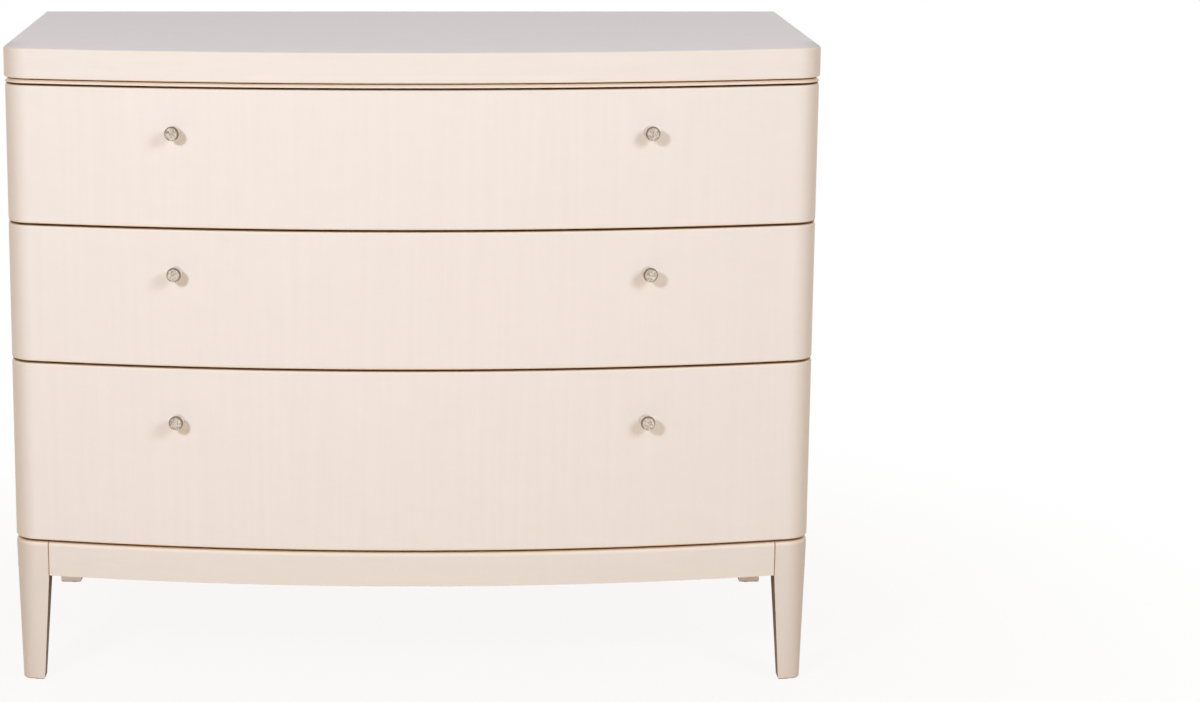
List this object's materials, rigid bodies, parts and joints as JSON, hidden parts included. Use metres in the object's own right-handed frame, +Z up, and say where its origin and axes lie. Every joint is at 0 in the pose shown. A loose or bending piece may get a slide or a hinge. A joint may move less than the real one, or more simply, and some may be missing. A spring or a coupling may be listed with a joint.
{
  "type": "nightstand",
  "caption": "Cream bow-front nightstand chest: overlay drawers with round metal knobs on telescopic slides, a slab top with rounded corners and a base with tapered legs.",
  "frame": {"origin": "on the floor, under the middle of the whole object", "axes": "+X to the right as seen from the front, +Y from the drawer fronts to the back, +Z up"},
  "size_m": [0.914, 0.4706, 0.735],
  "materials": {
    "cream_paint": "cream paint with a satin sheen, faint grain showing",
    "case_board": "bare board",
    "drawer_wood": "clear lacquer",
    "drawer_bottom_ply": "bare plywood",
    "nickel": "satin nickel plate",
    "zinc_steel": "zinc-plated sheet steel",
    "screw_steel": "zinc-plated steel",
    "nylon": "moulded",
    "bumper_rubber": "soft"
  },
  "bodies": {
    "case": {"back_panel": "case_board", "back_screws": "screw_steel", "base_screws": "screw_steel", "bottom_drawer_slide_case_members": "zinc_steel", "bottom_panel": "case_board", "case_slide_screws": "screw_steel", "corner_blocks": "case_board", "drawer_bumpers": "bumper_rubber", "foot_glides": "nylon", "front_apron": "cream_paint", "front_left_leg": "cream_paint", "front_right_leg": "cream_paint", "left_apron": "cream_paint", "left_side_panel": "cream_paint", "lower_drawer_rail": "case_board", "middle_drawer_slide_case_members": "zinc_steel", "rear_apron": "cream_paint", "rear_left_leg": "cream_paint", "rear_right_leg": "cream_paint", "right_apron": "cream_paint", "right_side_panel": "cream_paint", "sub_top": "cream_paint", "top_drawer_slide_case_members": "zinc_steel", "top_panel": "cream_paint", "top_screws": "screw_steel", "upper_drawer_rail": "case_board"},
    "top_drawer": {"top_drawer_back": "drawer_wood", "top_drawer_bottom": "drawer_bottom_ply", "top_drawer_front": "cream_paint", "top_drawer_knob_screws": "screw_steel", "top_drawer_left_knob": "nickel", "top_drawer_left_side": "drawer_wood", "top_drawer_right_knob": "nickel", "top_drawer_right_side": "drawer_wood", "top_drawer_slide_drawer_members": "zinc_steel", "top_drawer_slide_screws": "screw_steel"},
    "top_drawer_slide_middle": {"top_drawer_slide_middle_members": "zinc_steel"},
    "middle_drawer": {"middle_drawer_back": "drawer_wood", "middle_drawer_bottom": "drawer_bottom_ply", "middle_drawer_front": "cream_paint", "middle_drawer_knob_screws": "screw_steel", "middle_drawer_left_knob": "nickel", "middle_drawer_left_side": "drawer_wood", "middle_drawer_right_knob": "nickel", "middle_drawer_right_side": "drawer_wood", "middle_drawer_slide_drawer_members": "zinc_steel", "middle_drawer_slide_screws": "screw_steel"},
    "middle_drawer_slide_middle": {"middle_drawer_slide_middle_members": "zinc_steel"},
    "bottom_drawer": {"bottom_drawer_back": "drawer_wood", "bottom_drawer_bottom": "drawer_bottom_ply", "bottom_drawer_front": "cream_paint", "bottom_drawer_knob_screws": "screw_steel", "bottom_drawer_left_knob": "nickel", "bottom_drawer_left_side": "drawer_wood", "bottom_drawer_right_knob": "nickel", "bottom_drawer_right_side": "drawer_wood", "bottom_drawer_slide_drawer_members": "zinc_steel", "bottom_drawer_slide_screws": "screw_steel"},
    "bottom_drawer_slide_middle": {"bottom_drawer_slide_middle_members": "zinc_steel"}
  },
  "joints": [
    {"name": "top_drawer_slide", "type": "slide", "parent": "case", "child": "top_drawer", "axis": [0, -1, 0], "range_m": [0, 0.33]},
    {"name": "top_drawer_middle_slide", "type": "slide", "parent": "case", "child": "top_drawer_slide_middle", "axis": [0, -1, 0], "range_m": [0, 0.165]},
    {"name": "middle_drawer_slide", "type": "slide", "parent": "case", "child": "middle_drawer", "axis": [0, -1, 0], "range_m": [0, 0.33]},
    {"name": "middle_drawer_middle_slide", "type": "slide", "parent": "case", "child": "middle_drawer_slide_middle", "axis": [0, -1, 0], "range_m": [0, 0.165]},
    {"name": "bottom_drawer_slide", "type": "slide", "parent": "case", "child": "bottom_drawer", "axis": [0, -1, 0], "range_m": [0, 0.33]},
    {"name": "bottom_drawer_middle_slide", "type": "slide", "parent": "case", "child": "bottom_drawer_slide_middle", "axis": [0, -1, 0], "range_m": [0, 0.165]}
  ],
  "couplings": [
    {"joint": "top_drawer_middle_slide", "follows": "top_drawer_slide", "ratio": 0.5},
    {"joint": "middle_drawer_middle_slide", "follows": "middle_drawer_slide", "ratio": 0.5},
    {"joint": "bottom_drawer_middle_slide", "follows": "bottom_drawer_slide", "ratio": 0.5}
  ]
}
